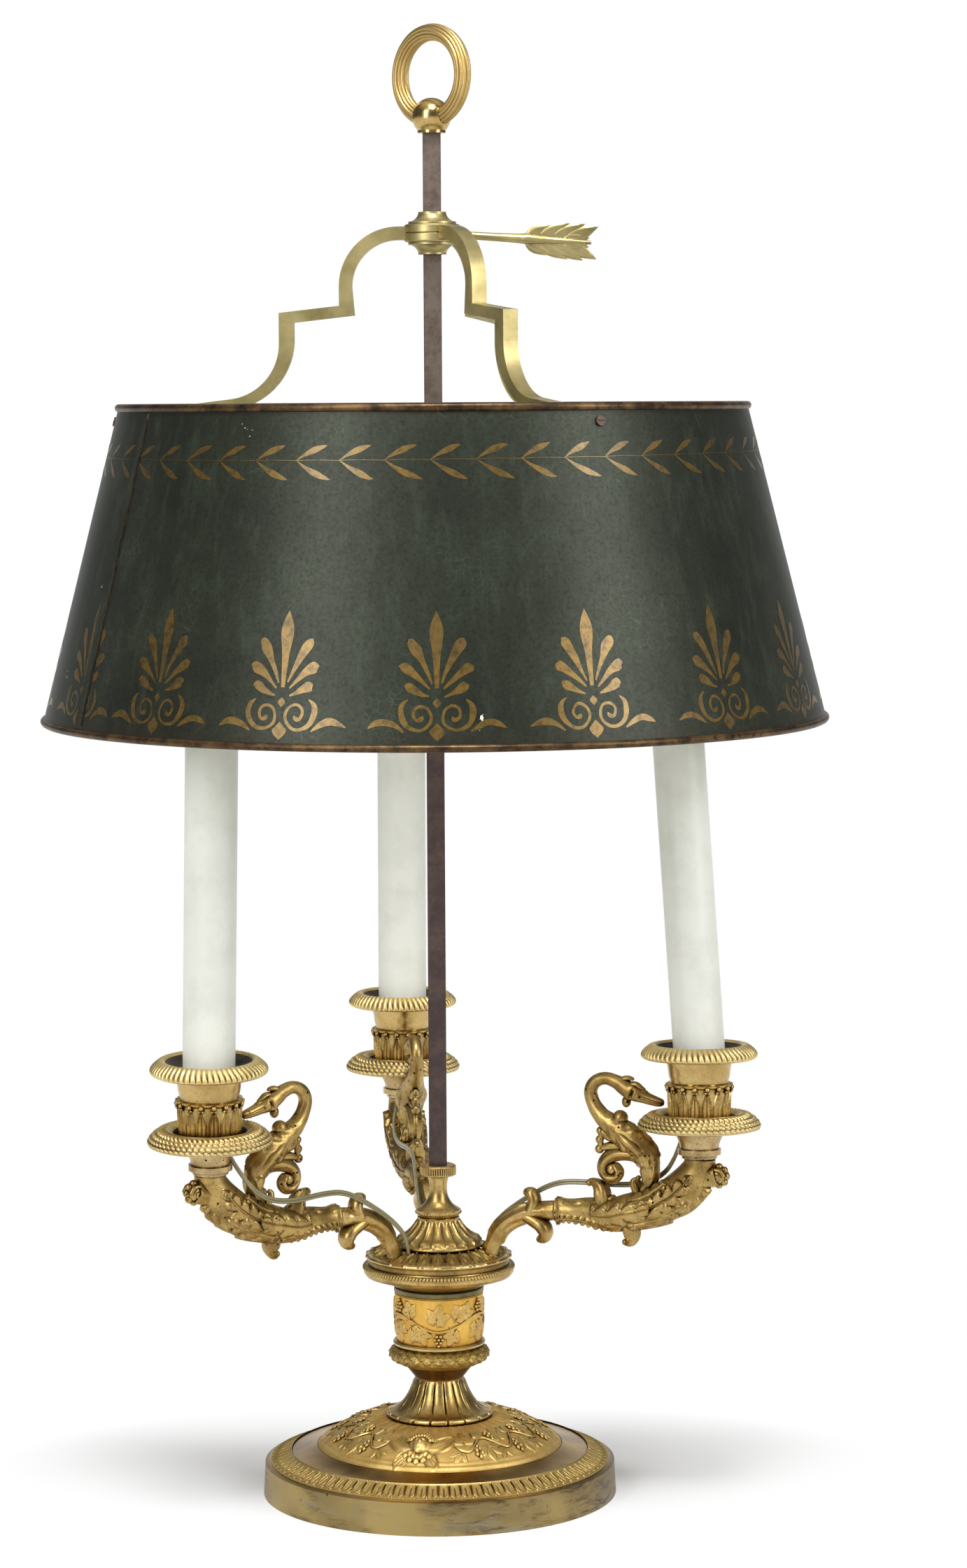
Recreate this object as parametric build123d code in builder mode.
from build123d import *
from math import atan, cos, degrees, pi, radians, sin, tan
import os

# A three-light bouillotte lamp: gilt brass stand, three horn arms with swans, candle lights, and a
# painted sheet shade whose hub slides on a flat iron rod and is clamped by an arrow-shaped screw.
# Millimetres, +Z up. The origin is the middle of the underside of the base, the front faces -Y.

os.makedirs("parts", exist_ok=True)

# ------------------------------------------------------------------ driving dimensions
lamp_height = 720.0  # underside of the base to the top of the ring finial

running_gap = 0.05  # radial clearance of a pin or a screw in its hole
slide_gap = 0.15  # clearance of the hub round the rod, on each side
loose_gap = 0.3  # between pieces that must not touch

# base
plinth_radius = 87.4
plinth_taper = 0.9  # how much the upright wall leans in
plinth_wall_height = 15.8
plinth_wall = 3.0
plinth_height = 24.1  # up to the edge of the dome
band_outer_radius = 83.3
band_outer_height = 16.8
band_inner_radius = 74.0
band_inner_height = 20.9
dome_radius = 60.4
dome_height = 13.8
dome_wall = 2.2
dome_ledge = 5.5  # width of the ledge that carries the dome
dome_rebate = 1.5  # depth of that ledge below the plinth's top
cord_hole_radius = 4.0
cord_hole_height = 7.5

# stem, from the dome upwards
foot_radius = 26.0
foot_edge = 1.4
foot_height = 19.1
neck_radius = 12.1
stem_cup_height = 7.0
stem_cup_radius = 17.3
torus_height = 10.0
torus_radius = 24.5
torus_top_radius = 21.1
drum_height = 29.5
drum_radius = 21.9
drum_foot_radius = 20.5
drum_wall = 2.4
platform_height = 11.2
platform_radius = 37.0
platform_wall = 2.6
collar_edge_radius = 35.6
collar_edge_height = 4.2
collar_inner_radius = 22.8
collar_height = 8.4
bell_radius = 21.8
bell_edge = 4.8  # height of the scalloped edge of the bell
bell_height = 15.3
bell_top_radius = 9.8
stem_bore_radius = 6.0  # room for the tie rod and the wires beside it

tie_radius = 3.0
tie_grip = 6.0  # how far the tie rod reaches into the rod socket
clamp_plate_radius = 62.0
clamp_plate_thickness = 3.0
nut_across_flats = 12.0
nut_height = 6.0
tie_tail = 3.0  # thread that stands out below the nut

# rod socket and rod
socket_height = 25.2
socket_flange_radius = 11.1
socket_flange_height = 3.8
socket_neck_radius = 4.3
socket_bead_radius = 8.1
socket_bead_height = 4.9
rod_width = 8.7
rod_depth = 6.0
rod_seat_depth = 4.0  # the rod's full section goes this deep into the socket
tang_radius = 2.2
tang_length = 13.0
ball_seat_depth = 2.0  # and this deep into the ball

# finial
ball_radius = 9.3
ball_collar_radius = 6.8
ball_collar_height = 2.6
ring_radius = 20.75
ring_section_radius = 4.2
ring_azimuth = -43.0
ring_reeds = 12
ring_sink = 1.0  # how far the middle of the ring's bar lies below the middle of the ball

# arms
arm_azimuths = (-21.7, -141.7, 98.3)
arm_sides = ("right", "left", "back")
cup_leans = (-2.1, 3.1, 0.0)  # how far each cup leans towards the front, in degrees
candle_leans = (3.9, 1.5, 1.0)  # how far each candle leans towards the rod, in degrees
candle_pitches = (0.0, 1.2, 0.0)  # how far each candle leans back in its cup, in degrees
arm_reach = 136.0  # from the rod's axis to the candle's axis
arm_axis_height = 144.8  # of the level part of the arm
root_distance = 27.0
root_radius = 4.1
root_foot_radius = 3.9
root_pocket_floor = 3.6  # above the underside of the collar
root_straight = 5.2
root_tube_end = 62.3
root_tenon_radius = 3.0
root_tenon_length = 6.0
horn_collar_radius = 6.2
horn_collar_width = 3.8
horn_throat_radius = 5.2
horn_belly_radius = 9.6
horn_mouth_radius = 7.5
horn_rise = 30.6  # from the level part of the arm up to the horn's mouth
horn_turn_setback = 36.0  # from the candle's axis back to where the horn begins to rise
swan_setback = 27.9  # from the candle's axis back to the foot of the swan

# wires
wire_radius = 1.1
wire_hole_radius = 1.5
wire_hole_distance = 22.6
wire_hole_side = 6.0

# candle lights, heights above the horn's mouth
small_ring_radius = 8.5
small_ring_height = 1.7
bowl_ring_radius = 10.4
bowl_ring_top = 4.8
bowl_radius = 12.5
bowl_top = 13.2
bowl_wall = 1.6
pan_radius = 29.4
pan_ridge_radius = 20.6
pan_ridge_height = 22.0
pan_wall = 2.0
cup_seat = 17.0
cup_radius = 14.4
cup_lip_radius = 16.1
cup_lip_height = 35.9
cup_waist_height = 39.6
cup_top_radius = 16.4
cup_top = 47.6
cup_bore_radius = 12.0
cup_floor = 2.4
rim_radius = 27.8
rim_widest_height = 50.0
rim_ridge_radius = 22.5
rim_ridge_height = 55.1
rim_spigot = 5.0
rim_bore_radius = 10.8
sleeve_radius = 12.45
sleeve_wall = 1.2
sleeve_length = 171.0
sleeve_ledge_height = 50.6
nipple_radius = 4.8
nipple_bore_radius = 3.2
nipple_grip = 8.0  # depth in the horn
nipple_head = 5.0  # height above the cup's floor
holder_radius = 9.8
holder_body_height = 46.0
holder_drop = 3.0  # the holder's top lies this far below the sleeve's top
stalk_radius = 4.6
bulb_cap_radius = 6.8
bulb_cap_length = 22.0
bulb_radius = 12.4  # slim enough for the shade's top rim to pass
bulb_length = 58.0

# shade
shade_rise = 150.9  # between the middles of the two rims
shade_top_radius = 152.1
shade_bottom_radius = 190.1
shade_drop = 83.5  # from the middle of the hub down to the top rim
sheet = 0.5
top_bead_radius = 2.1
bottom_bead_radius = 1.9
bead_sides = 8
lap_width = 7.0
lap_azimuth = -152.0
hub_drop = 55.6  # from the middle of the finial ball down to the middle of the hub
hub_radius = 13.5
hub_block_height = 8.4
hub_groove = 0.5
cap_flange_radius = 11.6
cap_flange_height = 1.3
cap_height = 6.0
cap_nose_radius = 6.8
bracket_azimuths = (180.0, -60.0, 60.0)
bracket_thickness = 6.4
bracket_width = 8.0
bracket_tenon = 3.0  # depth of the bracket's end in the hub
crook_radius = 28.9  # outside of the upper bend
crook_centre = 16.4  # its distance from the rod's axis
step_drop = 34.7  # below the middle of the hub, as is the lower bend
step_length = 29.2
step_fall = 3.3
step_thickness = 4.7
lower_bend_radius = 27.0
lower_bend_drop = 52.7
foot_turn = 82.0  # how far the lower bend turns, in degrees
foot_thickness = 3.0
foot_tab_thickness = 2.0
foot_tab_length = 12.0
screw_drop = 6.8  # below the top rim
screw_radius = 1.2
screw_head_radius = 2.3
screw_head_height = 1.2

# arrow key
arrow_droop = 3.7  # degrees below level
arrow_shaft_radius = 1.9
arrow_feather_start = 45.2
arrow_length = 80.7
arrow_feather_width = 19.0
arrow_barbs = 5
arrow_thickness = 1.8

# ------------------------------------------------------------------ derived places
dome_seat = plinth_height - dome_rebate
foot_seat = plinth_height + dome_height
stem_cup_seat = foot_seat + foot_height
torus_seat = stem_cup_seat + stem_cup_height
drum_seat = torus_seat + torus_height
platform_seat = drum_seat + drum_height
collar_seat = platform_seat + platform_height
bell_seat = collar_seat + collar_height
socket_seat = bell_seat + bell_height
socket_top = socket_seat + socket_height
rod_bottom = socket_top - rod_seat_depth

ring_height = lamp_height - ring_radius - ring_section_radius
ball_height = ring_height - ring_radius + ring_sink
ball_bottom = ball_height - (ball_radius**2 - ball_collar_radius**2) ** 0.5 - ball_collar_height / 2
rod_top = ball_bottom + ball_seat_depth
hub_height = ball_height - hub_drop
step_height = hub_height - step_drop
lower_bend_height = hub_height - lower_bend_drop
horn_mouth_height = arm_axis_height + horn_rise

clamp_plate_top = dome_seat - dome_wall - 0.3
clamp_plate_bottom = clamp_plate_top - clamp_plate_thickness
nut_bottom = clamp_plate_bottom - nut_height

shade_top = hub_height - shade_drop
shade_bottom = shade_top - shade_rise
shade_flare = (shade_bottom_radius - shade_top_radius) / shade_rise
shade_angle = degrees(atan(shade_flare))
sheet_across = sheet / cos(radians(shade_angle))  # the sheet's thickness along a radius


def sheet_radius(height):
    """Radius of the middle of the shade's sheet at a height."""
    return shade_top_radius + shade_flare * (shade_top - height)


def upright_plane(azimuth):
    """The upright plane through the rod's axis: its x is the distance from the axis, its y is +Z."""
    turn = radians(azimuth)
    return Plane(origin=(0, 0, 0), x_dir=(cos(turn), sin(turn), 0), z_dir=(sin(turn), -cos(turn), 0))


def save(piece, name):
    """Label a finished piece and write it as one STEP file."""
    piece.part.label = name
    export_step(piece.part, f"parts/{name}.step")


def disc(place, radius):
    """A round sketch, placed but not yet part of any piece."""
    with BuildSketch(place) as drawing:
        Circle(radius)
    return drawing.sketch


def round_sections(spine, radii, across):
    """Discs square to a line, evenly spaced along it, one for each radius."""
    discs = []
    for number, radius in enumerate(radii):
        share = number / (len(radii) - 1)
        place = Plane(origin=spine @ share, x_dir=across, z_dir=spine % share)
        discs.append(disc(place, radius))
    return discs


# ------------------------------------------------------------------ base
with BuildPart() as base_plinth:
    wall_top_radius = plinth_radius - plinth_taper
    well_radius = dome_radius + loose_gap
    with BuildSketch(Plane.XZ):
        with BuildLine():
            Polyline(
                (plinth_radius, 0),
                (wall_top_radius, plinth_wall_height),
                (band_outer_radius, band_outer_height),
                (band_inner_radius, band_inner_height),
                (band_inner_radius - 0.4, band_inner_height - 0.5),
                (band_inner_radius - 1.0, band_inner_height + 0.4),
            )
            ThreePointArc(
                (band_inner_radius - 1.0, band_inner_height + 0.4),
                ((band_inner_radius + well_radius) / 2, plinth_height - 1.9),
                (well_radius, plinth_height),
            )
            Polyline(
                (well_radius, plinth_height),
                (well_radius, dome_seat),
                (well_radius - dome_ledge, dome_seat),
                (well_radius - dome_ledge, clamp_plate_top),
                (clamp_plate_radius + 1.0, clamp_plate_top),
                (band_inner_radius, clamp_plate_top - plinth_wall),
                (wall_top_radius - plinth_wall, plinth_wall_height - plinth_wall),
                (plinth_radius - plinth_wall, 0),
                (plinth_radius, 0),
            )
        make_face()
    revolve(axis=Axis.Z)
    with BuildSketch(Plane.XZ.offset(-plinth_radius - 1)):
        with Locations((0, cord_hole_height)):
            Circle(cord_hole_radius)
    extrude(amount=4 * plinth_wall, mode=Mode.SUBTRACT)
save(base_plinth, "base_plinth")

with BuildPart() as base_dome:
    dome_top_radius = foot_radius
    with BuildSketch(Plane.XZ):
        with BuildLine():
            Line((dome_radius, dome_seat), (dome_radius, plinth_height))
            ThreePointArc(
                (dome_radius, plinth_height),
                (dome_radius * 0.75, plinth_height + dome_height * 0.66),
                (dome_top_radius, foot_seat),
            )
            Polyline(
                (dome_top_radius, foot_seat),
                (stem_bore_radius, foot_seat),
                (stem_bore_radius, foot_seat - dome_wall),
                (dome_top_radius, foot_seat - dome_wall),
            )
            ThreePointArc(
                (dome_top_radius, foot_seat - dome_wall),
                (dome_radius * 0.75 - dome_wall / 2, plinth_height + dome_height * 0.66 - dome_wall),
                (dome_radius - dome_wall, dome_seat),
            )
            Line((dome_radius - dome_wall, dome_seat), (dome_radius, dome_seat))
        make_face()
    revolve(axis=Axis.Z)
save(base_dome, "base_dome")

with BuildPart() as clamp_plate:
    with BuildSketch(Plane.XY.offset(clamp_plate_bottom)):
        Circle(clamp_plate_radius)
        Circle(tie_radius + running_gap, mode=Mode.SUBTRACT)
        with PolarLocations(clamp_plate_radius * 0.6, 3):
            Circle(clamp_plate_radius * 0.16, mode=Mode.SUBTRACT)
    extrude(amount=clamp_plate_thickness)
save(clamp_plate, "clamp_plate")

with BuildPart() as base_nut:
    with BuildSketch(Plane.XY.offset(nut_bottom)):
        RegularPolygon(nut_across_flats / 2, 6, major_radius=False)
        Circle(tie_radius + running_gap, mode=Mode.SUBTRACT)
    extrude(amount=nut_height)
save(base_nut, "base_nut")

with BuildPart() as tie_rod:
    with BuildSketch(Plane.XY.offset(nut_bottom - tie_tail)):
        Circle(tie_radius)
    extrude(amount=socket_seat + tie_grip - nut_bottom + tie_tail)
    chamfer(tie_rod.edges().filter_by(GeomType.CIRCLE), length=0.5)
save(tie_rod, "tie_rod")

# ------------------------------------------------------------------ stem
with BuildPart() as fluted_foot:
    with BuildSketch(Plane.XZ):
        with BuildLine():
            Polyline(
                (stem_bore_radius, foot_seat),
                (foot_radius - foot_edge / 2, foot_seat),
                (foot_radius, foot_seat + foot_edge / 2),
                (foot_radius - foot_edge / 2, foot_seat + foot_edge),
            )
            ThreePointArc(
                (foot_radius - foot_edge / 2, foot_seat + foot_edge),
                ((foot_radius + neck_radius) / 2 - 3.6, foot_seat + foot_height * 0.47),
                (neck_radius, stem_cup_seat),
            )
            Polyline(
                (neck_radius, stem_cup_seat),
                (stem_bore_radius, stem_cup_seat),
                (stem_bore_radius, foot_seat),
            )
        make_face()
    revolve(axis=Axis.Z)
save(fluted_foot, "fluted_foot")

with BuildPart() as stem_cup:
    with BuildSketch(Plane.XZ):
        with BuildLine():
            Polyline(
                (stem_bore_radius, stem_cup_seat),
                (neck_radius, stem_cup_seat),
                (neck_radius, stem_cup_seat + stem_cup_height * 0.1),
                (stem_cup_radius - 0.7, torus_seat - stem_cup_height * 0.1),
                (stem_cup_radius, torus_seat),
                (stem_bore_radius, torus_seat),
                close=True,
            )
        make_face()
    revolve(axis=Axis.Z)
save(stem_cup, "stem_cup")

with BuildPart() as leaf_torus:
    with BuildSketch(Plane.XZ):
        with BuildLine():
            Line((stem_bore_radius, torus_seat), (stem_cup_radius, torus_seat))
            Spline(
                (stem_cup_radius, torus_seat),
                (torus_radius - 1.0, torus_seat + torus_height * 0.22),
                (torus_radius, torus_seat + torus_height * 0.47),
                (torus_radius - 0.9, torus_seat + torus_height * 0.74),
                (torus_top_radius, drum_seat),
                tangents=[(1, 0.3), (-1, 0.9)],
            )
            Polyline(
                (torus_top_radius, drum_seat),
                (stem_bore_radius, drum_seat),
                (stem_bore_radius, torus_seat),
            )
        make_face()
    revolve(axis=Axis.Z)
save(leaf_torus, "leaf_torus")

with BuildPart() as vine_drum:
    drum_room = drum_foot_radius - drum_wall
    with BuildSketch(Plane.XZ):
        with BuildLine():
            Polyline(
                (stem_bore_radius, drum_seat),
                (drum_foot_radius, drum_seat),
                (drum_radius - 0.2, drum_seat + drum_height * 0.36),
                (drum_radius, drum_seat + drum_height * 0.87),
                (drum_radius - 0.4, drum_seat + drum_height * 0.88),
                (drum_radius - 0.4, platform_seat),
                (drum_room, platform_seat),
                (drum_room, drum_seat + drum_wall),
                (stem_bore_radius, drum_seat + drum_wall),
                close=True,
            )
        make_face()
    revolve(axis=Axis.Z)
save(vine_drum, "vine_drum")

with BuildPart() as platform:
    platform_room = platform_radius - platform_wall - 2.4
    with BuildSketch(Plane.XZ):
        with BuildLine():
            Line((drum_room, platform_seat), (drum_radius - 0.4, platform_seat))
            ThreePointArc(
                (drum_radius - 0.4, platform_seat),
                (platform_radius * 0.77, platform_seat + platform_height * 0.28),
                (platform_radius - 1.0, platform_seat + platform_height * 0.49),
            )
            Polyline(
                (platform_radius - 1.0, platform_seat + platform_height * 0.49),
                (platform_radius, platform_seat + platform_height * 0.62),
                (platform_radius, platform_seat + platform_height * 0.78),
                (collar_edge_radius, collar_seat),
                (platform_room, collar_seat),
                (platform_room, platform_seat + platform_height * 0.62),
                (drum_room, platform_seat + platform_wall),
                (drum_room, platform_seat),
            )
        make_face()
    revolve(axis=Axis.Z)
save(platform, "platform")

with BuildPart() as leaf_collar:
    with BuildSketch(Plane.XZ):
        with BuildLine():
            Polyline(
                (tie_radius + running_gap, collar_seat),
                (collar_edge_radius - 1.2, collar_seat),
                (collar_edge_radius, collar_seat + collar_edge_height * 0.5),
                (collar_edge_radius, collar_seat + collar_edge_height),
                (collar_inner_radius, bell_seat),
                (tie_radius + running_gap, bell_seat),
                close=True,
            )
        make_face()
    revolve(axis=Axis.Z)
    for azimuth in arm_azimuths:
        turn = radians(azimuth)
        out = (cos(turn), sin(turn))
        across = (-sin(turn), cos(turn))
        hole = [wire_hole_distance * o + wire_hole_side * a for o, a in zip(out, across)]
        with Locations((root_distance * out[0], root_distance * out[1], bell_seat)):
            CounterBoreHole(
                root_tenon_radius + running_gap,
                root_foot_radius + running_gap,
                collar_height - root_pocket_floor,
                depth=2 * collar_height,
            )
        with Locations((hole[0], hole[1], bell_seat)):
            Hole(wire_hole_radius, depth=2 * collar_height)
save(leaf_collar, "leaf_collar")

with BuildPart() as fluted_bell:
    with BuildSketch(Plane.XZ):
        with BuildLine():
            Polyline(
                (tie_radius + running_gap, bell_seat),
                (bell_radius - 1.2, bell_seat),
                (bell_radius, bell_seat + 1.4),
                (bell_radius - 1.0, bell_seat + bell_edge),
            )
            ThreePointArc(
                (bell_radius - 1.0, bell_seat + bell_edge),
                (bell_top_radius + 3.2, bell_seat + bell_height * 0.55),
                (bell_top_radius, socket_seat),
            )
            Polyline(
                (bell_top_radius, socket_seat),
                (tie_radius + running_gap, socket_seat),
                (tie_radius + running_gap, bell_seat),
            )
        make_face()
    revolve(axis=Axis.Z)
save(fluted_bell, "fluted_bell")

with BuildPart() as rod_socket:
    bead_seat = socket_top - socket_bead_height
    with BuildSketch(Plane.XZ):
        with BuildLine():
            Polyline(
                (0, socket_seat),
                (socket_flange_radius - 1.0, socket_seat),
                (socket_flange_radius, socket_seat + socket_flange_height * 0.35),
                (socket_flange_radius, socket_seat + socket_flange_height * 0.75),
                (socket_flange_radius - 1.4, socket_seat + socket_flange_height),
            )
            Spline(
                (socket_flange_radius - 1.4, socket_seat + socket_flange_height),
                (socket_neck_radius + 1.2, socket_seat + socket_height * 0.32),
                (socket_neck_radius, socket_seat + socket_height * 0.55),
                (socket_neck_radius + 0.9, bead_seat - socket_height * 0.045),
            )
            Polyline(
                (socket_neck_radius + 0.9, bead_seat - socket_height * 0.045),
                (socket_bead_radius - 1.2, bead_seat),
                (socket_bead_radius, bead_seat + socket_bead_height * 0.3),
                (socket_bead_radius, bead_seat + socket_bead_height * 0.55),
                (socket_bead_radius - 0.8, socket_top),
                (0, socket_top),
                (0, socket_seat),
            )
        make_face()
    revolve(axis=Axis.Z)
    with BuildSketch(Plane.XY.offset(rod_bottom)):
        Rectangle(rod_width + 2 * running_gap, rod_depth + 2 * running_gap)
    extrude(amount=rod_seat_depth, mode=Mode.SUBTRACT)
    with BuildSketch(Plane.XY.offset(rod_bottom - tang_length)):
        Circle(tang_radius + running_gap)
    extrude(amount=tang_length, mode=Mode.SUBTRACT)
    with BuildSketch(Plane.XY.offset(socket_seat)):
        Circle(tie_radius + running_gap)
    extrude(amount=tie_grip, mode=Mode.SUBTRACT)
save(rod_socket, "rod_socket")

with BuildPart() as rod:
    with BuildSketch(Plane.XY.offset(rod_bottom)):
        Rectangle(rod_width, rod_depth)
    extrude(amount=rod_top - rod_bottom)
    chamfer(rod.edges().filter_by(Axis.Z), length=0.4)
    with BuildSketch(Plane.XY.offset(rod_bottom - tang_length)):
        Circle(tang_radius)
    extrude(amount=tang_length)
save(rod, "rod")

# ------------------------------------------------------------------ finial
ring_plane = upright_plane(ring_azimuth)
ring_middle = Plane(origin=(0, 0, ring_height), x_dir=ring_plane.x_dir, z_dir=ring_plane.z_dir)
ring_axis = Axis((0, 0, ring_height), ring_plane.z_dir)

with BuildPart() as finial_ring:
    with BuildSketch(Plane(origin=(0, 0, ring_height), x_dir=ring_plane.x_dir, z_dir=(0, 0, 1))):
        with Locations((ring_radius, 0)):
            RegularPolygon(ring_section_radius, ring_reeds)
    revolve(axis=ring_axis)
save(finial_ring, "finial_ring")

with BuildPart() as finial_ball:
    with BuildSketch(Plane.XY.offset(ball_bottom)):
        Circle(ball_collar_radius)
    extrude(amount=ball_height - ball_bottom)
    with Locations((0, 0, ball_height)):
        Sphere(ball_radius)
    with BuildSketch(Plane(origin=(0, 0, ring_height), x_dir=ring_plane.x_dir, z_dir=(0, 0, 1))):
        with Locations((ring_radius, 0)):
            RegularPolygon(ring_section_radius, ring_reeds)
    revolve(axis=ring_axis, mode=Mode.SUBTRACT)
    with BuildSketch(Plane.XY.offset(ball_bottom - ball_radius)):
        Rectangle(4 * ball_radius, 4 * ball_radius)
    extrude(amount=ball_radius, mode=Mode.SUBTRACT)
    with BuildSketch(Plane.XY.offset(ball_bottom)):
        Rectangle(rod_width + 2 * running_gap, rod_depth + 2 * running_gap)
    extrude(amount=ball_seat_depth, mode=Mode.SUBTRACT)
save(finial_ball, "finial_ball")


# ------------------------------------------------------------------ arms
root_seat = bell_seat - collar_height + root_pocket_floor
root_bend_start = root_seat + root_straight
horn_turn = arm_reach - horn_turn_setback
swan_distance = arm_reach - swan_setback
wire_route = (  # distance from the rod's axis, height, sideways: from the collar to the bowl
    (wire_hole_distance, collar_seat + 0.5, wire_hole_side),
    (wire_hole_distance + 0.4, bell_seat + 6.0, wire_hole_side),
    (root_distance + 4.5, arm_axis_height - 5.2, 5.8),
    (root_tube_end - 16.3, arm_axis_height + 5.2, 5.4),
    (root_tube_end - 1.8, arm_axis_height + 13.2, 4.6),
    (root_tube_end + 12.7, arm_axis_height + 14.0, 5.6),
    (swan_distance - 17.1, arm_axis_height + 13.0, 7.6),
    (swan_distance - 2.1, arm_axis_height + 14.6, 8.4),
    (arm_reach - 20.0, horn_mouth_height - 10.2, 7.8),
    (arm_reach - 14.8, horn_mouth_height - 2.6, 5.4),
    (arm_reach - 11.4, horn_mouth_height + 4.0, 2.6),
    (arm_reach - 8.7, horn_mouth_height + 10.2, 0.8),
)


def route_radii(points):
    """The largest arcs that the runs of a route leave room for."""
    radii = []
    for before, here, after in zip(points, points[1:], points[2:]):
        run_in, run_out = here - before, after - here
        turn = run_in.get_angle(run_out)
        radii.append(0.45 * min(run_in.length, run_out.length) / tan(radians(turn / 2)))
    return radii


up = Vector(0, 0, 1)
nipple_top = cup_seat + cup_floor + nipple_head
arms = []  # side, azimuth, outward, sideways, light plane, candle plane, foot of the holder's stalk
arm_rows = zip(arm_sides, arm_azimuths, cup_leans, candle_leans, candle_pitches)
for side, azimuth, cup_lean, candle_lean, candle_pitch in arm_rows:
    turn = radians(azimuth)
    out = Vector(cos(turn), sin(turn), 0)
    left = Vector(-sin(turn), cos(turn), 0)
    # the light stands on the horn's mouth and leans a little to the front or the back
    light_up = Vector(0, -sin(radians(cup_lean)), cos(radians(cup_lean)))
    mouth = out * arm_reach + up * horn_mouth_height
    light = Plane(origin=mouth, x_dir=(1, 0, 0), z_dir=light_up)
    # the candle leans towards the rod, and its sleeve's lowest edge stands on the ledge of the rim
    inwards, backwards = tan(radians(candle_lean)), tan(radians(candle_pitch))
    candle_up = (light_up - out * inwards + Vector(0, backwards, 0)).normalized()
    candle_tilt = radians(light_up.get_angle(candle_up))
    candle_foot = sleeve_ledge_height + sleeve_radius * sin(candle_tilt) + running_gap
    candle = Plane(origin=mouth + light_up * candle_foot, x_dir=(0, 1, 0), z_dir=candle_up)
    # the lowest edge of the holder's stalk stands on the nipple
    stalk_rise = stalk_radius * sin(candle_tilt) + running_gap
    stalk_bottom = (nipple_top + stalk_rise - candle_foot) / cos(candle_tilt)
    arms.append((side, azimuth, out, left, light, candle, stalk_bottom))


def profile_plane(base):
    """The plane for the half profile of a turned piece: x is its radius and y its height."""
    return Plane(origin=base.origin, x_dir=base.x_dir, z_dir=-base.y_dir)


def shifted(reach, rise, points):
    """Points of an arm, given from a place on it, as distances from the rod's axis and heights."""
    return [(reach + along, arm_axis_height + rise + above) for along, above in points]


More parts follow.
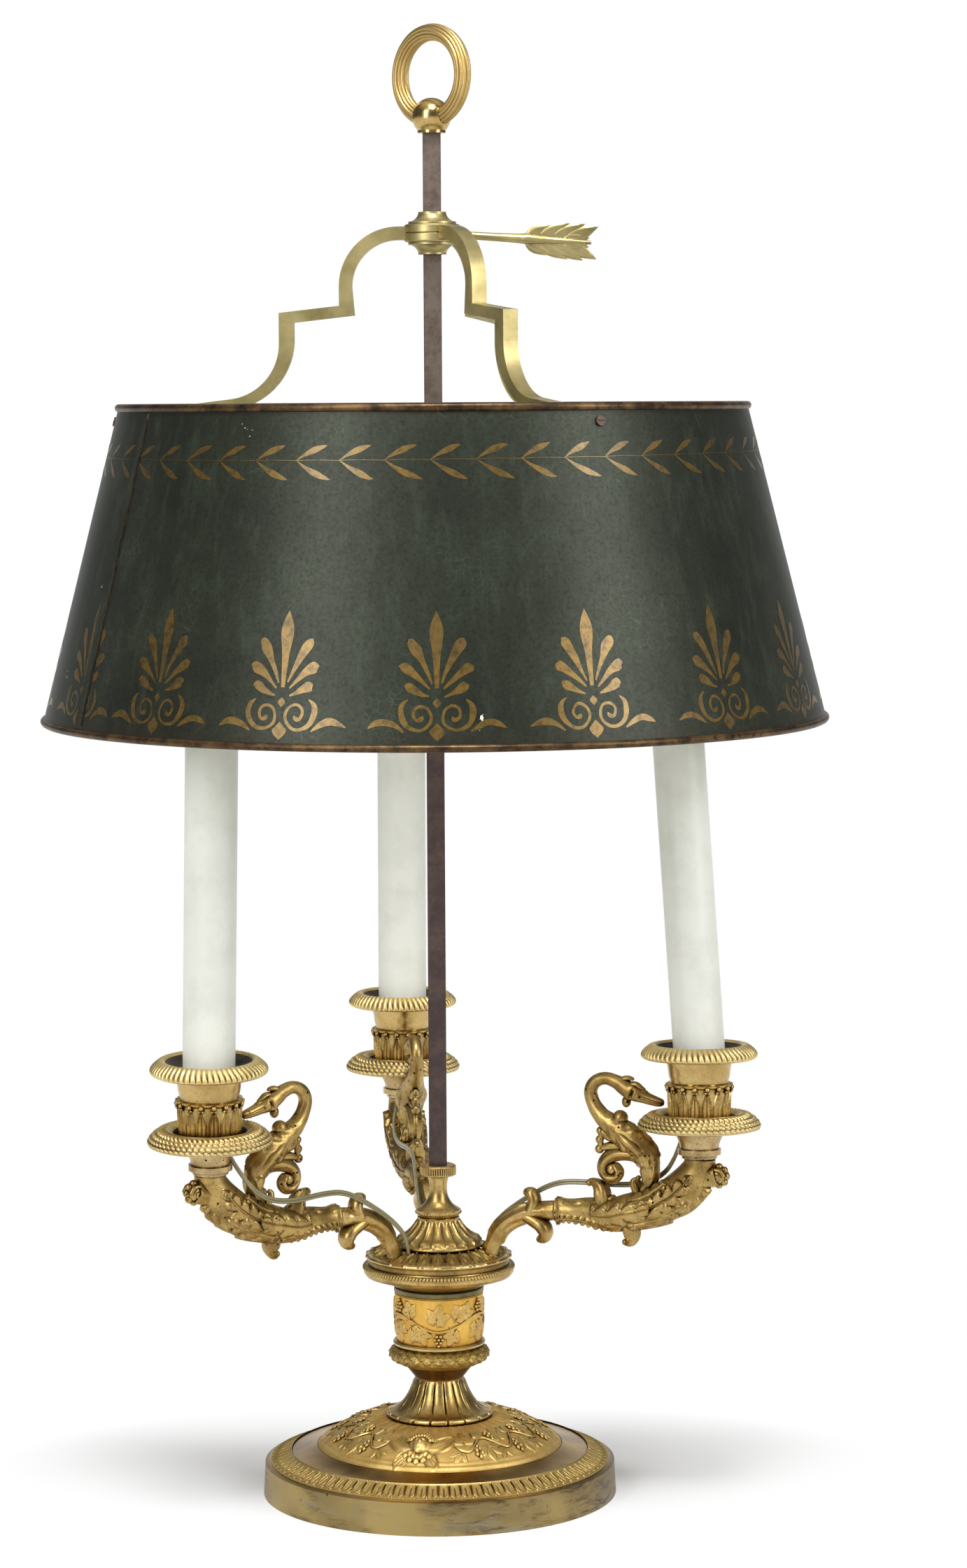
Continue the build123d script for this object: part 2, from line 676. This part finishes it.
for side, azimuth, out, left, light, candle, stalk_bottom in arms:
    arm_plane = upright_plane(azimuth)
    across = arm_plane.z_dir

    with BuildPart() as arm_root:
        foot_middle = (root_distance * out.X, root_distance * out.Y)
        with BuildSketch(Plane.XY.offset(collar_seat)):
            with Locations(foot_middle):
                Circle(root_tenon_radius)
        extrude(amount=root_seat - collar_seat)
        with BuildSketch(Plane.XY.offset(root_seat)):
            with Locations(foot_middle):
                Circle(root_foot_radius)
        extrude(amount=root_straight)
        with BuildLine(arm_plane) as root_bend:
            Spline(
                (root_distance, root_bend_start),
                (root_distance + root_tube_end * 0.18, arm_axis_height - root_tube_end * 0.1),
                (root_tube_end, arm_axis_height),
                tangents=[(0, 1), (1, 0)],
            )
        root_radii = [root_foot_radius] * 2 + [root_radius] * 3
        loft(sections=round_sections(root_bend.line, root_radii, across))
        with BuildSketch(Plane(origin=out * root_tube_end + up * arm_axis_height, z_dir=out)):
            Circle(root_tenon_radius)
        extrude(amount=root_tenon_length - loose_gap)
        # leaf tips that curl up and down off the tube
        with BuildLine(arm_plane) as upper_curl:
            Spline(*shifted(root_tube_end, 0, ((-10.8, 0.2), (-9.3, 5.7), (-15.5, 8.0))))
        loft(sections=round_sections(upper_curl.line, (3.4, 2.6, 2.2), across))
        with BuildLine(arm_plane) as lower_curl:
            Spline(*shifted(root_tube_end, 0, ((-12.3, -2.8), (-4.7, -8.8), (-9.1, -14.2))))
        loft(sections=round_sections(lower_curl.line, (3.4, 2.8, 2.2), across))
    save(arm_root, f"arm_root_{side}")

    with BuildPart() as arm_horn:
        collar_plane = Plane(origin=out * root_tube_end + up * arm_axis_height, z_dir=out)
        with BuildSketch(collar_plane):
            Circle(horn_collar_radius)
        extrude(amount=horn_collar_width)
        with BuildLine(arm_plane) as horn_bend:
            Spline(
                (root_tube_end + horn_collar_width, arm_axis_height),
                (horn_turn, arm_axis_height + 2.2),
                (arm_reach - 11.2, arm_axis_height + 12.8),
                (arm_reach, horn_mouth_height),
                tangents=[(1, 0), (0, 1)],
            )
        throat, belly = horn_throat_radius, horn_belly_radius
        horn_radii = (throat, throat + 1.2, throat + 2.8, belly - 1.0, belly - 0.2, belly, belly - 0.8)
        sections = round_sections(horn_bend.line, horn_radii + (horn_mouth_radius,), across)
        sections[-1] = disc(light, horn_mouth_radius)
        loft(sections=sections)
        # the curled end of the outer leaf, and the leaf tips above and below
        volute_middle = out * (arm_reach + 8.6) + up * (horn_mouth_height - 8.0)
        with BuildSketch(Plane(origin=volute_middle - across * 3.2, z_dir=across)):
            Circle(5.8)
        extrude(amount=6.4)
        with BuildLine(arm_plane) as top_leaf:
            Spline(*shifted(horn_turn, 0, ((-12.0, 2.2), (-13.5, 11.7), (-20.4, 14.8))))
        loft(sections=round_sections(top_leaf.line, (4.2, 3.2, 1.7), across))
        with BuildLine(arm_plane) as low_leaf:
            Spline(*shifted(horn_turn, 0, ((-1.5, -1.8), (1.5, -8.3), (-1.2, -14.2))))
        loft(sections=round_sections(low_leaf.line, (4.6, 3.4, 1.9), across))
        # sockets for the root's tenon and for the nipple
        with BuildSketch(collar_plane):
            Circle(root_tenon_radius + running_gap)
        extrude(amount=root_tenon_length, mode=Mode.SUBTRACT)
        with BuildSketch(light.offset(-nipple_grip)):
            Circle(nipple_radius + running_gap)
        extrude(amount=nipple_grip + 1, mode=Mode.SUBTRACT)
    save(arm_horn, f"arm_horn_{side}")

    with BuildPart() as swan:
        with BuildLine(arm_plane) as swan_back:
            foot_and_body = ((0, 8.2), (3.5, 21.2), (-4.3, 35.4), (-21.5, 47.1))
            neck_and_beak = ((-28.2, 59.2), (-19.3, 66.8), (-6.1, 60.3), (9.9, 55.6))
            Spline(*shifted(swan_distance, 0, foot_and_body + neck_and_beak))
        swan_radii = (2.8, 3.9, 4.7, 5.6, 4.9, 3.6, 2.9, 2.7, 2.5, 3.2, 2.9, 0.8)
        loft(sections=round_sections(swan_back.line, swan_radii, across))
        with BuildLine(arm_plane) as wing:
            tail_curl = ((0.5, 31.2), (-11.1, 31.2), (-21.5, 26.7), (-20.5, 18.8))
            Spline(*shifted(swan_distance, 0, tail_curl))
        loft(sections=round_sections(wing.line, (3.2, 3.0, 2.8, 2.5), across))
        curl_middle = out * (swan_distance - 16.7) + up * (arm_axis_height + 21.2)
        with BuildSketch(Plane(origin=curl_middle - across * 2.8, z_dir=across)):
            Circle(4.9)
        extrude(amount=5.6)
        for along, above, radius in ((-13.1, 46.2, 3.6), (-9.5, 56.0, 2.4)):
            middle = out * (swan_distance + along) + up * (arm_axis_height + above)
            with Locations(Plane(origin=middle, x_dir=up, z_dir=across)):
                Sphere(radius)
        add(arm_horn.part, mode=Mode.SUBTRACT)
    save(swan, f"swan_{side}")

    route = [out * reach + up * height + left * aside for reach, height, aside in wire_route]
    with BuildPart() as arm_wire:
        with BuildLine() as wire_line:
            FilletPolyline(*route, radius=route_radii(route))
        with BuildSketch(Plane(origin=wire_line.line @ 0, z_dir=wire_line.line % 0)):
            Circle(wire_radius)
        sweep(path=wire_line.line)
    save(arm_wire, f"arm_wire_{side}")
    length = sum(edge.length for edge in wire_line.edges())
    share = arm_wire.part.volume / (pi * wire_radius**2 * length)
    arcs = ", ".join(f"{radius:.0f}" for radius in route_radii(route))
    print(f"arm_wire_{side}: length {length:.1f}, volume share {share:.4f}, arc radii {arcs}")

    # ---- light: heights are above the horn's mouth
    turned = profile_plane(light)
    light_axis = Axis(light.origin, light.z_dir)
    nipple_hole = nipple_radius + running_gap

    with BuildPart() as drip_pan:
        with BuildSketch(turned):
            with BuildLine():
                Polyline(
                    (nipple_hole, 0),
                    (small_ring_radius, 0),
                    (small_ring_radius, small_ring_height),
                    (bowl_ring_radius, small_ring_height),
                    (bowl_ring_radius, bowl_ring_top - 0.3),
                    (bowl_ring_radius - 1.1, bowl_ring_top),
                    (bowl_radius, bowl_top),
                    (pan_radius - 1.9, bowl_top + 0.8),
                    (pan_radius, bowl_top + 2.0),
                )
                ThreePointArc(
                    (pan_radius, bowl_top + 2.0),
                    (pan_radius - 2.6, pan_ridge_height - 1.9),
                    (pan_ridge_radius, pan_ridge_height),
                )
                Polyline(
                    (pan_ridge_radius, pan_ridge_height),
                    (cup_lip_radius + 1.0, pan_ridge_height - 1.6),
                    (cup_lip_radius, cup_seat),
                    (nipple_hole, cup_seat),
                    (nipple_hole, cup_seat - pan_wall),
                    (bowl_radius - bowl_wall, bowl_top - 1.0),
                    (bowl_ring_radius - 1.1 - bowl_wall, bowl_ring_top),
                    (nipple_hole, small_ring_height + bowl_wall),
                    (nipple_hole, 0),
                )
            make_face()
        revolve(axis=light_axis)
        # the hole in the side of the bowl, which the wire enters by
        run = route[-1] - route[-2]
        with BuildSketch(Plane(origin=route[-1] - run, z_dir=run)):
            Circle(wire_radius + 1.0)
        extrude(amount=run.length * 1.15, mode=Mode.SUBTRACT)
    save(drip_pan, f"drip_pan_{side}")

    with BuildPart() as candle_cup:
        with BuildSketch(turned):
            with BuildLine():
                Polyline(
                    (nipple_hole, cup_seat),
                    (cup_radius - 0.4, cup_seat),
                    (cup_radius + 0.2, cup_seat + 12.0),
                    (cup_lip_radius - 0.5, cup_lip_height - 2.2),
                    (cup_lip_radius, cup_lip_height),
                    (cup_lip_radius - 0.6, cup_lip_height + 1.6),
                    (cup_radius + 0.2, cup_lip_height + 2.2),
                )
                ThreePointArc(
                    (cup_radius + 0.2, cup_lip_height + 2.2),
                    (cup_radius + 0.3, cup_waist_height + 2.4),
                    (cup_top_radius, cup_top),
                )
                Polyline(
                    (cup_top_radius, cup_top),
                    (cup_bore_radius, cup_top),
                    (cup_bore_radius, cup_seat + cup_floor),
                    (nipple_hole, cup_seat + cup_floor),
                    (nipple_hole, cup_seat),
                )
            make_face()
        revolve(axis=light_axis)
    save(candle_cup, f"candle_cup_{side}")

    with BuildPart() as nozzle_rim:
        spigot_radius = cup_bore_radius - running_gap
        ledge_radius = sleeve_radius + 2.2
        with BuildSketch(turned):
            with BuildLine():
                Polyline(
                    (rim_bore_radius, cup_top - rim_spigot),
                    (spigot_radius, cup_top - rim_spigot),
                    (spigot_radius, cup_top),
                    (rim_radius - 1.9, rim_widest_height - 1.5),
                    (rim_radius, rim_widest_height),
                )
                ThreePointArc(
                    (rim_radius, rim_widest_height),
                    (rim_radius - 1.6, rim_ridge_height - 1.5),
                    (rim_ridge_radius, rim_ridge_height),
                )
                Polyline(
                    (rim_ridge_radius, rim_ridge_height),
                    (rim_ridge_radius - 2.0, rim_ridge_height - 1.0),
                    (ledge_radius, sleeve_ledge_height),
                    (rim_bore_radius, sleeve_ledge_height),
                    (rim_bore_radius, cup_top - rim_spigot),
                )
            make_face()
        revolve(axis=light_axis)
    save(nozzle_rim, f"nozzle_rim_{side}")

    # ---- candle: heights are above the foot of the leaning sleeve
    turned = profile_plane(candle)
    candle_axis = Axis(candle.origin, candle.z_dir)
    holder_top = sleeve_length - holder_drop

    with BuildPart() as candle_sleeve:
        with BuildSketch(candle):
            Circle(sleeve_radius)
            Circle(sleeve_radius - sleeve_wall, mode=Mode.SUBTRACT)
        extrude(amount=sleeve_length)
    save(candle_sleeve, f"candle_sleeve_{side}")

    with BuildPart() as lampholder:
        with BuildSketch(turned):
            with BuildLine():
                Polyline(
                    (0, stalk_bottom),
                    (stalk_radius, stalk_bottom),
                    (stalk_radius, holder_top - holder_body_height - 4.0),
                    (holder_radius, holder_top - holder_body_height),
                    (holder_radius, holder_top),
                    (bulb_cap_radius + loose_gap, holder_top),
                    (bulb_cap_radius + loose_gap, holder_top - bulb_cap_length - loose_gap),
                    (0, holder_top - bulb_cap_length - loose_gap),
                    close=True,
                )
            make_face()
        revolve(axis=candle_axis)
    save(lampholder, f"lampholder_{side}")

    with BuildPart() as bulb:
        with BuildSketch(turned):
            with BuildLine():
                Polyline(
                    (0, holder_top - bulb_cap_length),
                    (bulb_cap_radius - 1.5, holder_top - bulb_cap_length),
                    (bulb_cap_radius, holder_top - bulb_cap_length + 3.0),
                    (bulb_cap_radius, holder_top + 1.0),
                )
                Spline(
                    (bulb_cap_radius, holder_top + 1.0),
                    (bulb_radius, holder_top + bulb_length * 0.4),
                    (bulb_radius * 0.42, holder_top + bulb_length * 0.82),
                    (0, holder_top + bulb_length),
                )
                Line((0, holder_top + bulb_length), (0, holder_top - bulb_cap_length))
            make_face()
        revolve(axis=candle_axis)
    save(bulb, f"bulb_{side}")

with BuildPart() as candle_nipples:
    for side, azimuth, out, left, light, candle, stalk_bottom in arms:
        with BuildSketch(light.offset(-nipple_grip)):
            Circle(nipple_radius)
            Circle(nipple_bore_radius, mode=Mode.SUBTRACT)
        extrude(amount=nipple_grip + nipple_top)
save(candle_nipples, "candle_nipples")

# ------------------------------------------------------------------ shade
slant = Vector(shade_flare, -1).normalized()  # down the sheet, as radius and height
normal = Vector(1, shade_flare).normalized()  # out of the sheet
top_middle = Vector(shade_top_radius, shade_top)
bottom_middle = Vector(shade_bottom_radius, shade_bottom)
flat_share = cos(pi / bead_sides)
sheet_top = top_middle + slant * (top_bead_radius * flat_share)
sheet_bottom = bottom_middle - slant * (bottom_bead_radius * flat_share)


def strip(inner, outer):
    """The corners of a strip of sheet between two distances from the sheet's middle."""
    ends = ((sheet_top, inner), (sheet_top, outer), (sheet_bottom, outer), (sheet_bottom, inner))
    return [tuple(place + normal * away)[:2] for place, away in ends]


def screw_plane(azimuth, away):
    """A plane square to the shade's wall at a screw, a distance outside the sheet's middle."""
    turn = radians(azimuth)
    out = Vector(cos(turn), sin(turn), 0)
    height = shade_top - screw_drop
    outward = (out + up * shade_flare).normalized()
    return Plane(origin=out * sheet_radius(height) + up * height + outward * away, z_dir=outward)


with BuildPart() as shade_sheet:
    with BuildSketch(Plane.XZ):
        Polygon(*strip(-sheet / 2, sheet / 2), align=None)
    revolve(axis=Axis.Z)
    # the lap where the two ends of the sheet are soldered over each other
    with BuildSketch(upright_plane(lap_azimuth)):
        Polygon(*strip(0, 3 * sheet / 2), align=None)
    revolve(axis=Axis.Z, revolution_arc=degrees(lap_width / shade_top_radius))
    for azimuth in bracket_azimuths:
        with BuildSketch(screw_plane(azimuth, -2 * sheet)):
            Circle(screw_radius + running_gap)
        extrude(amount=4 * sheet, mode=Mode.SUBTRACT)
save(shade_sheet, "shade_sheet")

for name, middle, radius in (
    ("shade_top_rim", top_middle, top_bead_radius),
    ("shade_bottom_rim", bottom_middle, bottom_bead_radius),
):
    with BuildPart() as shade_rim:
        with BuildSketch(Plane.XZ):
            with Locations((middle.X, middle.Y)):
                RegularPolygon(radius, bead_sides, rotation=shade_angle - 180 / bead_sides)
        revolve(axis=Axis.Z)
    save(shade_rim, name)

# ------------------------------------------------------------------ hub and brackets
arrow_turn = radians(arrow_droop)
arrow_out = Vector(cos(arrow_turn), 0, -sin(arrow_turn))
hub_middle = Vector(0, 0, hub_height)
slot_width = rod_width + 2 * slide_gap
slot_depth = rod_depth + 2 * slide_gap
block_top = hub_height + hub_block_height / 2
block_bottom = hub_height - hub_block_height / 2

with BuildPart() as hub_body:
    with BuildSketch(Plane.XZ):
        with BuildLine():
            Polyline(
                (0, block_bottom),
                (hub_radius - 0.6, block_bottom),
                (hub_radius, block_bottom + 0.6),
                (hub_radius, hub_height - hub_groove),
                (hub_radius - hub_groove, hub_height),
                (hub_radius, hub_height + hub_groove),
                (hub_radius, block_top - 0.6),
                (hub_radius - 0.6, block_top),
                (0, block_top),
                close=True,
            )
        make_face()
    revolve(axis=Axis.Z)
    with BuildSketch(Plane.XY.offset(block_bottom)):
        Rectangle(slot_width, slot_depth)
    extrude(amount=hub_block_height, mode=Mode.SUBTRACT)
    for azimuth in bracket_azimuths:
        with BuildSketch(upright_plane(azimuth)):
            with Locations((hub_radius - bracket_tenon / 2, hub_height)):
                Rectangle(bracket_tenon, bracket_thickness + 2 * running_gap)
            with Locations((hub_radius + bracket_tenon / 2, hub_height)):
                Rectangle(bracket_tenon, bracket_thickness + 2 * running_gap)
        extrude(amount=bracket_width / 2 + running_gap, both=True, mode=Mode.SUBTRACT)
    with BuildSketch(Plane(origin=hub_middle, z_dir=arrow_out)):
        Circle(arrow_shaft_radius + running_gap)
    extrude(amount=2 * hub_radius, mode=Mode.SUBTRACT)
save(hub_body, "hub_body")

for name, seat, way in (("hub_top_cap", block_top, 1), ("hub_bottom_cap", block_bottom, -1)):
    with BuildPart() as hub_cap:
        with BuildSketch(Plane.XZ):
            with BuildLine():
                Polyline(
                    (0, seat),
                    (cap_flange_radius, seat),
                    (cap_flange_radius, seat + way * cap_flange_height),
                )
                ThreePointArc(
                    (cap_flange_radius, seat + way * cap_flange_height),
                    (cap_nose_radius + 1.5, seat + way * cap_height * 0.45),
                    (cap_nose_radius, seat + way * (cap_height - 0.8)),
                )
                Polyline(
                    (cap_nose_radius, seat + way * (cap_height - 0.8)),
                    (cap_nose_radius, seat + way * cap_height),
                    (0, seat + way * cap_height),
                    (0, seat),
                )
            make_face()
        revolve(axis=Axis.Z)
        with BuildSketch(Plane.XY.offset(min(seat, seat + way * cap_height))):
            Rectangle(slot_width, slot_depth)
        extrude(amount=cap_height, mode=Mode.SUBTRACT)
    save(hub_cap, name)

crook_top = hub_height + bracket_thickness / 2
crook_out = crook_centre + crook_radius
step_out = crook_out + step_length
bend_middle = Vector(step_out + lower_bend_radius, lower_bend_height)
foot_height_top = shade_top - top_bead_radius - loose_gap
wall_inside = sheet_across / 2 + bracket_width**2 / (8 * shade_top_radius) + 0.01
foot_end = (sheet_radius(foot_height_top) - wall_inside, foot_height_top)
tab_bottom = foot_height_top - foot_tab_length
tab_end = (sheet_radius(tab_bottom) - wall_inside, tab_bottom)


def lower_bend(angle, depth):
    """A point of the bracket's lower bend, a depth below its upper side."""
    reach = lower_bend_radius + depth
    turn = radians(angle)
    return (bend_middle.X - reach * cos(turn), bend_middle.Y - reach * sin(turn))


for number, azimuth in enumerate(bracket_azimuths, start=1):
    with BuildPart() as bracket_arm:
        with BuildSketch(upright_plane(azimuth)):
            with BuildLine():
                Line((hub_radius - bracket_tenon, crook_top), (crook_centre, crook_top))
                JernArc((crook_centre, crook_top), (1, 0), crook_radius, -90)
                Polyline(
                    (crook_out, crook_top - crook_radius),
                    (crook_out, step_height),
                    (step_out, step_height - step_fall),
                    lower_bend(0, 0),
                )
                ThreePointArc(lower_bend(0, 0), lower_bend(45, 0), lower_bend(foot_turn, 0))
                Polyline(
                    lower_bend(foot_turn, 0),
                    foot_end,
                    tab_end,
                    (tab_end[0] - foot_tab_thickness, tab_bottom),
                    (foot_end[0] - foot_tab_thickness, foot_height_top - foot_thickness),
                    lower_bend(foot_turn, bracket_thickness * 0.8),
                )
                ThreePointArc(
                    lower_bend(foot_turn, bracket_thickness * 0.8),
                    lower_bend(45, bracket_thickness * 0.9),
                    lower_bend(0, bracket_thickness + 1.0),
                )
                Polyline(
                    lower_bend(0, bracket_thickness + 1.0),
                    (step_out - bracket_thickness - 1.0, step_height - step_fall - step_thickness),
                    (crook_out - bracket_thickness - 1.2, step_height - step_thickness),
                    (crook_out - bracket_thickness, crook_top - crook_radius),
                )
                ThreePointArc(
                    (crook_out - bracket_thickness, crook_top - crook_radius),
                    (
                        crook_centre + (crook_radius - bracket_thickness) * cos(pi / 4),
                        crook_top - crook_radius + (crook_radius - bracket_thickness) * sin(pi / 4),
                    ),
                    (crook_centre, crook_top - bracket_thickness),
                )
                Polyline(
                    (crook_centre, crook_top - bracket_thickness),
                    (hub_radius - bracket_tenon, crook_top - bracket_thickness),
                    (hub_radius - bracket_tenon, crook_top),
                )
            make_face()
        extrude(amount=bracket_width / 2, both=True)
        with BuildSketch(screw_plane(azimuth, -2 * foot_tab_thickness - sheet)):
            Circle(screw_radius + running_gap)
        extrude(amount=2 * foot_tab_thickness + sheet, mode=Mode.SUBTRACT)
    save(bracket_arm, f"bracket_arm_{number}")

with BuildPart() as shade_screws:
    for azimuth in bracket_azimuths:
        with BuildSketch(screw_plane(azimuth, -sheet / 2 - foot_tab_thickness - 1.0)):
            Circle(screw_radius)
        extrude(amount=foot_tab_thickness + sheet + 1.0)
        with BuildSketch(screw_plane(azimuth, sheet / 2)):
            Circle(screw_head_radius)
        extrude(amount=screw_head_height)
        with BuildSketch(screw_plane(azimuth, sheet / 2 + screw_head_height * 0.5)):
            Rectangle(2 * screw_head_radius, screw_head_radius * 0.25)
        extrude(amount=screw_head_height, mode=Mode.SUBTRACT)
save(shade_screws, "shade_screws")

# ------------------------------------------------------------------ arrow key
with BuildPart() as arrow_key:
    tip = rod_width / 2 + 2 * loose_gap
    with BuildSketch(Plane(origin=hub_middle + arrow_out * tip, z_dir=arrow_out)):
        Circle(arrow_shaft_radius)
    extrude(amount=arrow_length - tip)
    feather_length = arrow_length - arrow_feather_start
    barb_pitch = feather_length * 0.72 / arrow_barbs
    outline = [(arrow_feather_start - 1.0, 0)]
    for barb in range(arrow_barbs):
        rise = min(1.0, 0.62 + 0.19 * barb)
        barb_tip = arrow_feather_start + feather_length * 0.28 + barb_pitch * (barb + 1)
        outline.append((barb_tip - barb_pitch * 0.55, arrow_feather_width / 2 * (rise - 0.1)))
        outline.append((barb_tip, arrow_feather_width / 2 * rise))
        outline.append((barb_tip - barb_pitch * 0.15, arrow_feather_width / 2 * (rise - 0.14)))
    outline.append((arrow_length - 2.5, arrow_shaft_radius))
    outline.append((arrow_length - 2.5, 0))
    feather_plane = Plane(origin=hub_middle, x_dir=arrow_out, z_dir=(0, -1, 0))
    with BuildSketch(feather_plane):
        Polygon(*outline, align=None)
        mirror(about=Plane.XZ)
    extrude(amount=arrow_thickness / 2, both=True)
save(arrow_key, "arrow_key")
